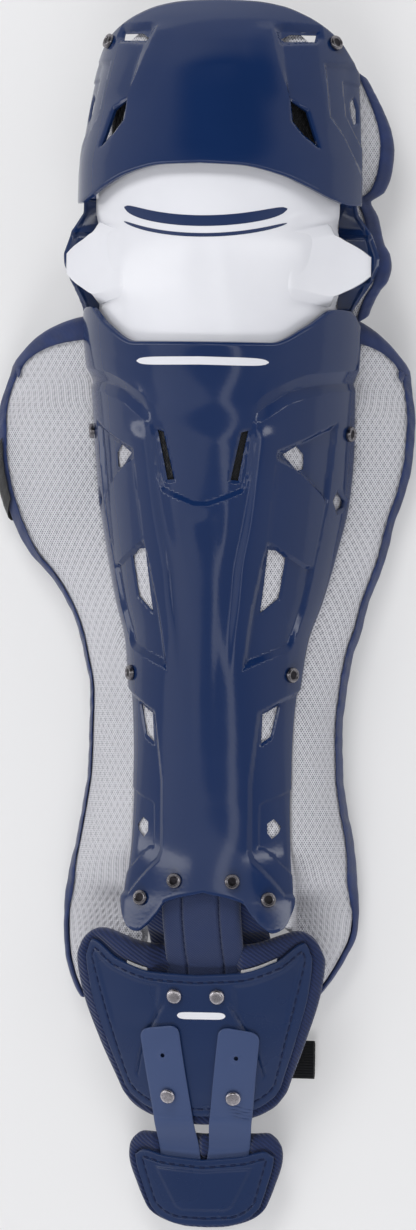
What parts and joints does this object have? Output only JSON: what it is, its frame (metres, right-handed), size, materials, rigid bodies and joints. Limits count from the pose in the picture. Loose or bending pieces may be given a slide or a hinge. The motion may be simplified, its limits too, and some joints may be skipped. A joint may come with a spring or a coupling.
{
  "type": "catcher leg guard",
  "caption": "Long padded leg guard with hard thigh, knee and shin shells, a soft winged pad, and ankle and toe plates on straps.",
  "frame": {"origin": "centre of the footprint, on the floor the guard lies on", "axes": "+Y up the leg towards the thigh end, +Z out of the front of the shells, +X to the wearer's side on the right of the picture"},
  "size_m": [0.261, 0.7358, 0.117],
  "materials": {
    "shell": "glossy navy plastic",
    "knee_cap": "glossy white plastic",
    "mesh": "white spacer mesh over foam",
    "binding": "smooth navy tape",
    "lining": "navy woven cloth over foam",
    "toe_straps": "satin navy plastic strap",
    "back_straps": "black elastic webbing",
    "rivets": "gunmetal rivet heads"
  },
  "bodies": {
    "root": {"thigh_cap": "shell", "knee_cap": "knee_cap", "shin_shell": "shell", "side_link_left": "shell", "side_link_right": "shell", "knee_pad": "mesh", "shin_pad": "mesh", "knee_pad_binding_left": "binding", "shin_pad_binding_left": "binding", "knee_pad_binding_right": "binding", "shin_pad_binding_right": "binding", "label_tab": "back_straps", "tongue": "lining", "ankle_liner": "lining", "ankle_pad": "lining", "ankle_plate": "shell", "toe_pad": "lining", "toe_plate": "shell", "toe_strap_left": "toe_straps", "rivet_toe_strap_left": "rivets", "rivet_thigh_left": "rivets", "rivet_shin_upper_left": "rivets", "rivet_shin_mid_left": "rivets", "rivet_shin_inner_left": "rivets", "rivet_shin_outer_left": "rivets", "rivet_ankle_left": "rivets", "toe_strap_right": "toe_straps", "rivet_toe_strap_right": "rivets", "rivet_thigh_right": "rivets", "rivet_shin_upper_right": "rivets", "rivet_shin_mid_right": "rivets", "rivet_shin_inner_right": "rivets", "rivet_shin_outer_right": "rivets", "rivet_ankle_right": "rivets", "strap_calf_upper": "back_straps", "strap_calf_middle": "back_straps", "strap_calf_lower": "back_straps", "strap_knee": "back_straps", "strap_ankle": "back_straps"}
  },
  "joints": []
}
